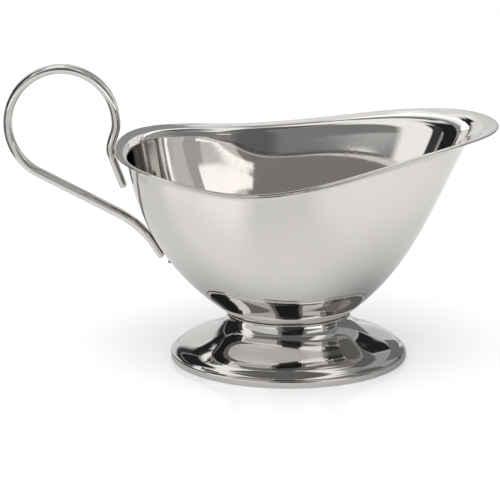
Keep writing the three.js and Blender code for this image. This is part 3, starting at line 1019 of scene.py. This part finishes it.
# %% The cards, one by one
CARDS = [
    # name, distance back, ends left and right, low and high edge at each end (mm), brightness
    ("behind_white", 60, (5, 50), (145, 130), (150, 160), 2.0),
    ("behind_pale", 61, (60, 80), (110, 75), (140, 130), 0.95),
    ("behind_white_high", 62, (25, 50), (145, 150), (195, 180), 1.3),
    ("behind_grey", 63, (-50, 7), (80, 140), (1300, 1300), 0.35),
    ("behind_white_large", 64, (-15, 45), (55, 90), (330, 350), 1.0),
    ("far_white", -220, (-420, -50), (5, 0), (120, 100), 1.2),
    ("far_black", -220, (-10, 80), (10, 0), (80, 70), 0.05),
    ("far_white_right", -220, (95, 245), (0, 0), (45, 70), 1.6),
    ("far_black_right", -220, (285, 865), (0, 0), (55, 65), 0.05),
    ("near_pale", -100, (-195, -10), (25, 30), (85, 85), 0.75),
    ("near_black", -100, (0, 50), (50, 25), (90, 90), 0.02),
    ("near_white", -100, (60, 165), (55, 35), (75, 95), 1.0),
    ("near_dark", -100, (125, 340), (45, 50), (85, 100), 0.1),
]
# The same for the card at the side, with its distance right and its ends front and back.
SIDE_CARD = ("right_grey", 240, (-60, 515), (0, 15), (80, 235), 0.2)

# %% Helpers for glowing paper and flat sheets
PAPER_GRAIN, PAPER_SHADE = 25, 0.95
NOISE_RANGE = 0.3, 0.7  # noise seldom leaves it


def glow_material(name, brightness):
    """Glowing paper that is a little uneven."""
    material = bpy.data.materials.new(name)
    material.use_nodes = True
    tree = material.node_tree
    tree.nodes.clear()
    glow = add(tree, "Emission")
    place = add(tree, "TexCoord").outputs["Object"]
    grain = scaled_noise(tree, place, PAPER_GRAIN, 3)
    paper = ramp(tree, grain, *NOISE_RANGE, brightness * PAPER_SHADE, brightness)
    tree.links.new(paper, glow.inputs["Strength"])
    tree.links.new(glow.outputs[0], add(tree, "OutputMaterial").inputs["Surface"])
    return material


def flat_sheet(name, corners, material):
    """One flat sheet with four corners, in metres, that belongs to the studio."""
    mesh = bpy.data.meshes.new(name)
    mesh.from_pydata(corners, [], [(0, 1, 2, 3)])
    sheet = bpy.data.objects.new(name, mesh)
    bpy.context.scene.collection.objects.link(sheet)
    sheet.data.materials.append(material)
    return sheet


# %% Set up the cards
NOT_SEEN_BY = ("camera", "diffuse", "transmission", "volume_scatter", "shadow")


def set_card(name, distance, ends, lows, highs, brightness, side=False):
    """An upright card across the view, or one that stands at a side, along the view."""
    outline = [(ends[0], lows[0]), (ends[1], lows[1]), (ends[1], highs[1]), (ends[0], highs[0])]
    corners = []
    for along, height in outline:
        level_place = (distance, along) if side else (along, distance)
        corners.append(tuple(value * MM for value in (*level_place, height)))
    card = flat_sheet(name, corners, glow_material(name, brightness))
    for ray in NOT_SEEN_BY:
        setattr(card, "visible_" + ray, False)


for card in CARDS:
    set_card(*card)
set_card(*SIDE_CARD, side=True)
print(len(CARDS) + 1, "cards set up")

# %% [markdown]
# ## The table
# The table is a white laminate sheet. In the photograph it burns out to pure
# white, and only a faint shadow and reflection of the foot are left on it. For
# the lens it is an ordinary white surface that takes the shadow, with a
# little glow on top. The steel sees something else: a table with soft pools
# of light and shade, brighter beside the boat and dark far out. A real table
# under one lamp is too even to draw the dark lines along the handle's edges.

# %% The table's sizes, and what the steel sees on it
TABLE_LEFT, TABLE_RIGHT, TABLE_FRONT, TABLE_BACK = -1.6, 1.6, -0.9, 2.6
TABLE_WHITES = (0.80, 0.80, 0.80), (0.82, 0.82, 0.82)
TABLE_ROUGHNESS = 0.14, 0.18
FLECK_SCALE, SHADE_SCALE = 60, 9
TABLE_GLOW_FOR_LENS = 0.21
TABLE_IN_STEEL = 0.80
POOLS = [
    # name, left, right, front, back, softness (mm), brightness
    ("light at the spout", 75, 190, -215, 185, 20, 1.0),
    ("light in front, left", -225, -20, -160, -55, 25, 1.15),
    ("shade under the boat", -30, 100, -40, 55, 50, 0.18),
    ("light in front", -135, 85, -95, -45, 40, 0.9),
    ("shade under the spout", 85, 155, -25, 75, 55, 0.8),
    ("dark far left", -1700, -175, -1000, 2700, 10, 0.2),
    ("dark far right", 215, 1700, -1000, 2700, 35, 0.13),
    ("bright strip near the viewer", -430, 400, -1000, -425, 5, 2.4),
]


# %% Build the table
def table_material():
    """White laminate for the lens, soft pools of light and shade for the steel."""
    material = bpy.data.materials.new("white_laminate")
    material.use_nodes = True
    tree = material.node_tree
    place = add(tree, "TexCoord").outputs["Object"]
    rays = add(tree, "LightPath")
    surface = tree.nodes["Principled BSDF"]
    surface.inputs["Emission Color"].default_value = (1, 1, 1, 1)
    fleck = ramp(tree, scaled_noise(tree, place, FLECK_SCALE, 5), *NOISE_RANGE, *TABLE_ROUGHNESS)
    tree.links.new(fleck, surface.inputs["Roughness"])
    shade = mixed_colour(tree, scaled_noise(tree, place, SHADE_SCALE, 3), *TABLE_WHITES)
    tree.links.new(shade, surface.inputs["Base Color"])
    glow = combine(tree, "MULTIPLY", rays.outputs["Is Camera Ray"], TABLE_GLOW_FOR_LENS)
    tree.links.new(glow, surface.inputs["Emission Strength"])
    parts = add(tree, "SeparateXYZ")
    tree.links.new(place, parts.inputs[0])
    pools = soft_areas(tree, parts.outputs["X"], parts.outputs["Y"], MM, POOLS, TABLE_IN_STEEL)
    in_steel = add(tree, "Emission")
    tree.links.new(pools, in_steel.inputs["Strength"])
    seen = by_ray(tree, rays, "Is Glossy Ray", surface.outputs[0], in_steel.outputs[0])
    tree.links.new(seen, tree.nodes["Material Output"].inputs["Surface"])
    return material


table_corners = [(TABLE_LEFT, TABLE_FRONT, 0), (TABLE_RIGHT, TABLE_FRONT, 0),
                 (TABLE_RIGHT, TABLE_BACK, 0), (TABLE_LEFT, TABLE_BACK, 0)]
flat_sheet("table_top", table_corners, table_material())
print("table built, with", len(POOLS), "pools of light and shade for the steel")

# %% [markdown]
# ## Lamps
# A large soft lamp hangs above the boat and a little in front of it, as in the
# photograph, where the shadow lies faint and close round the whole foot. A
# small lamp would draw a hard shadow. Mirror rays pass it by, because the
# room's own light areas already stand for it there.

# %% Hang the lamp
LAMP_PLACE, LAMP_AIMED_AT = Vector((0.0, -0.25, 1.2)), Vector((0, 0, 0.04))
LAMP_SIDE, LAMP_POWER = 1.1, 9.0
softbox = bpy.data.lights.new("overhead_softbox", "AREA")
softbox.shape, softbox.size, softbox.energy = "SQUARE", LAMP_SIDE, LAMP_POWER
overhead = bpy.data.objects.new("overhead_softbox", softbox)
bpy.context.scene.collection.objects.link(overhead)
overhead.location = LAMP_PLACE
overhead.rotation_euler = (LAMP_AIMED_AT - LAMP_PLACE).to_track_quat("-Z", "Y").to_euler()
overhead.visible_glossy = False
print("lamp of", LAMP_POWER, "watts hung", round(LAMP_PLACE.z, 2), "m above the table")

# %% [markdown]
# ## The camera
# The photograph was taken from far away with a long lens: the two sides of
# the foot look equally wide, and lines hardly converge. Its height follows
# from how flat the oval of the foot looks. A nearer camera with a shorter
# lens would widen whatever is in front.

# %% Set the camera
CAMERA_HEIGHT_DEGREES = 19.5
CAMERA_DISTANCE, SEEN_UP_TO = 1.5, 50
FOCAL_LENGTH, SENSOR_WIDTH = 270, 36
AIM = np.array([-0.00039, 0.0, 0.045])
lens = bpy.data.cameras.new("long_lens")
lens.lens, lens.sensor_width, lens.clip_end = FOCAL_LENGTH, SENSOR_WIDTH, SEEN_UP_TO
viewer = bpy.data.objects.new("long_lens", lens)
bpy.context.scene.collection.objects.link(viewer)
lift = math.radians(CAMERA_HEIGHT_DEGREES)
viewer.location = AIM + CAMERA_DISTANCE * np.array([0, -math.cos(lift), math.sin(lift)])
viewer.rotation_euler = (math.pi / 2 - lift, 0, 0)
bpy.context.scene.camera = viewer

bpy.context.scene.view_settings.view_transform = "Standard"
print("camera at", [round(value, 4) for value in viewer.location])
